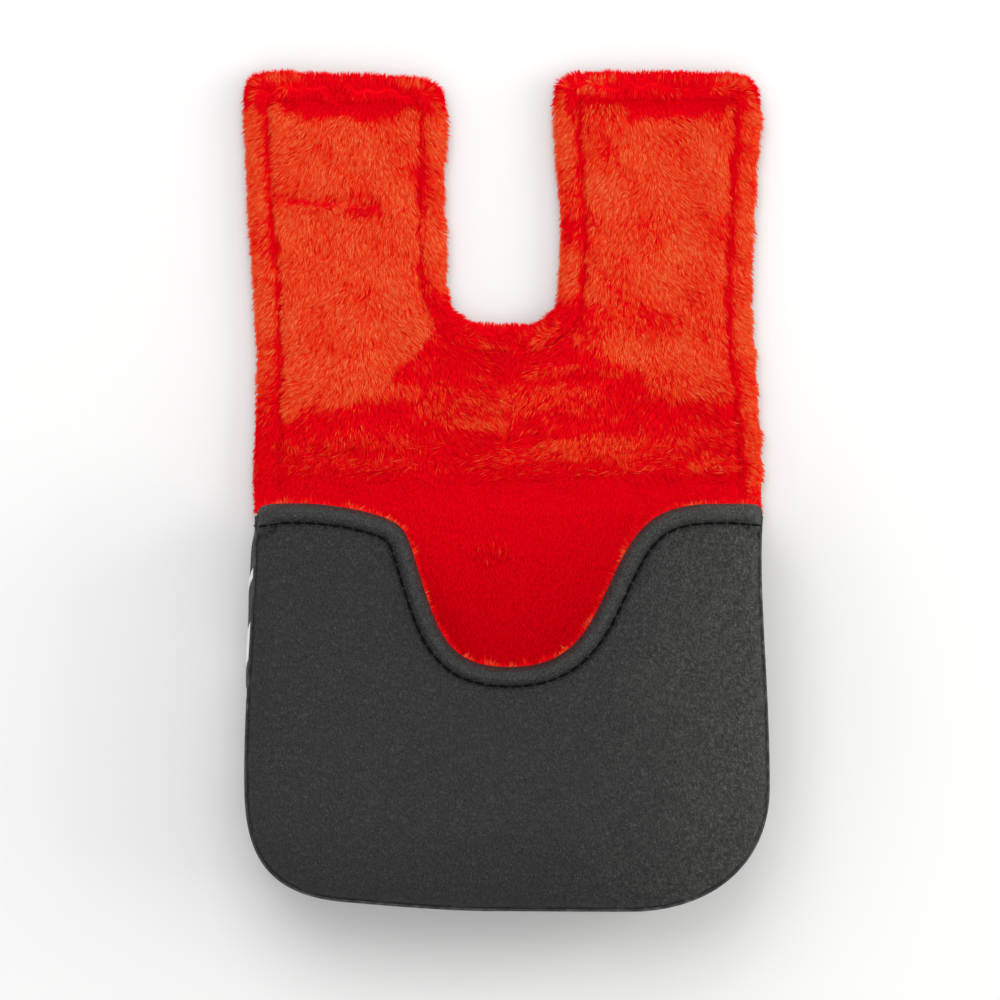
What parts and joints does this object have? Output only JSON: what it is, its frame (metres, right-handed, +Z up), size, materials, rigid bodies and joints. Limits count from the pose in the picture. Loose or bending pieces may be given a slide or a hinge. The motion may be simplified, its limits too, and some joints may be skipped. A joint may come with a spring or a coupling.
{
  "type": "mallet putter head cover",
  "caption": "Padded leather pouch with a scooped mouth and a plush-lined flap whose legs fold over and hold by magnets.",
  "frame": {"origin": "centre of the bounding box at its lowest face, where the open cover lies on its back panel", "axes": "+X to the right seen from above with the flap away, +Y from the pouch bottom to the flap's leg tips, +Z up out of the front panel"},
  "size_m": [0.129, 0.2064, 0.0379],
  "materials": {
    "leather": "charcoal grained synthetic leather, semi-matt",
    "plush": "bright red short-pile plush",
    "foam": "cream padding foam, hidden between shell and lining",
    "black_thread": "bonded black polyester sewing thread",
    "red_thread": "deep red polyester sewing thread",
    "magnet": "nickel-plated disc magnet, sealed inside the padding"
  },
  "bodies": {
    "pouch": {"back_panel_shell": "leather", "back_panel_foam": "foam", "back_panel_lining": "plush", "gusset_shell": "leather", "gusset_foam": "foam", "gusset_lining": "plush", "gusset_hem_thread_left": "black_thread", "gusset_hem_thread_right": "black_thread", "front_panel_shell": "leather", "front_panel_foam": "foam", "front_panel_lining": "plush", "pouch_magnet_left": "magnet", "pouch_magnet_right": "magnet", "mouth_hem_thread": "black_thread", "back_seam_thread": "black_thread", "front_seam_thread": "black_thread"},
    "flap_bridge": {"flap_bridge_shell": "leather", "flap_bridge_foam": "foam", "flap_bridge_lining": "plush", "flap_bridge_thread_left": "red_thread", "flap_bridge_thread_right": "red_thread"},
    "leg_left": {"leg_shell_left": "leather", "leg_foam_left": "foam", "leg_lining_left": "plush", "leg_magnet_left": "magnet", "leg_thread_left": "red_thread"},
    "leg_right": {"leg_shell_right": "leather", "leg_foam_right": "foam", "leg_lining_right": "plush", "leg_magnet_right": "magnet", "leg_thread_right": "red_thread"}
  },
  "joints": [
    {"name": "flap_fold", "type": "hinge", "parent": "pouch", "child": "flap_bridge", "pos_m": [0, 0.00435, 0.0012], "axis": [1, 0, 0], "range_deg": [0, 90]},
    {"name": "leg_fold_left", "type": "hinge", "parent": "flap_bridge", "child": "leg_left", "pos_m": [-0.039, 0.04935, 0.0012], "axis": [1, 0, 0], "range_deg": [0, 90]},
    {"name": "leg_fold_right", "type": "hinge", "parent": "flap_bridge", "child": "leg_right", "pos_m": [0.039, 0.04935, 0.0012], "axis": [1, 0, 0], "range_deg": [0, 90]}
  ]
}
